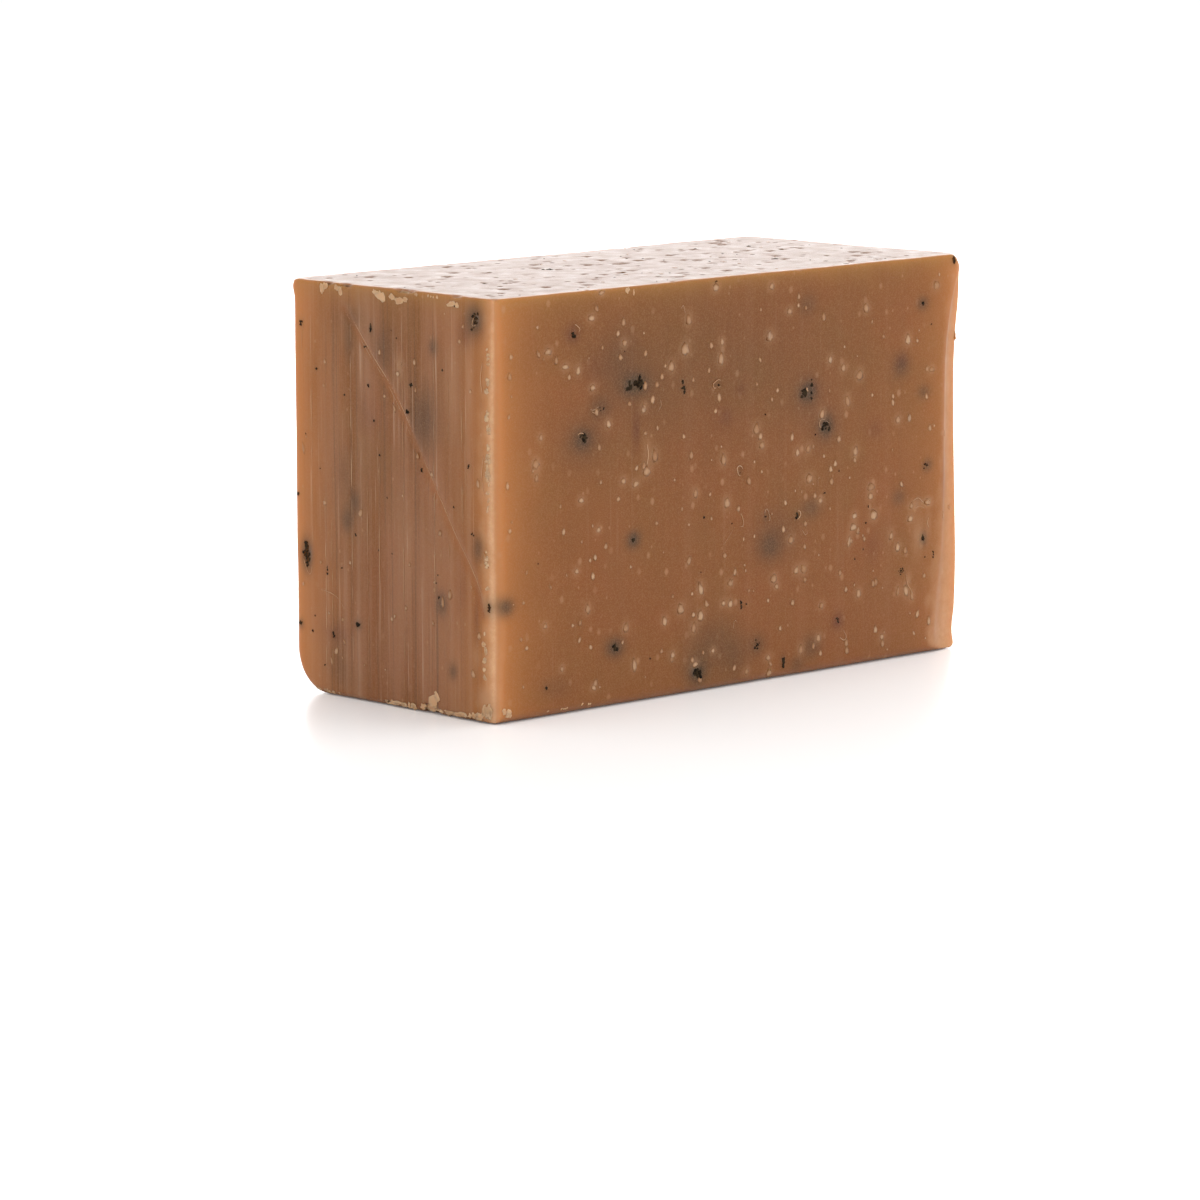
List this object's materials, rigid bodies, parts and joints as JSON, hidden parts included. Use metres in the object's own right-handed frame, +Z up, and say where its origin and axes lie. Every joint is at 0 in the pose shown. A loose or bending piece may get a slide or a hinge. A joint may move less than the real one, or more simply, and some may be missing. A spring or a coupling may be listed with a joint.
{
  "type": "bar of soap",
  "caption": "Rectangular hand-cut bar of translucent brown soap with embedded herb flecks, knife-trimmed upright edges and one foot edge rounded by its mould.",
  "frame": {"origin": "middle of the bar's foot, in the plane that it stands on", "axes": "+X along the long faces towards the end that is sliced out of square, +Y towards the back long face, +Z up"},
  "size_m": [0.088, 0.04, 0.0555],
  "materials": {
    "soap": "translucent honey-brown soap, waxy satin surface, with dark herb flecks and pale air bubbles"
  },
  "bodies": {
    "root": {"soap_bar": "soap"}
  },
  "joints": []
}
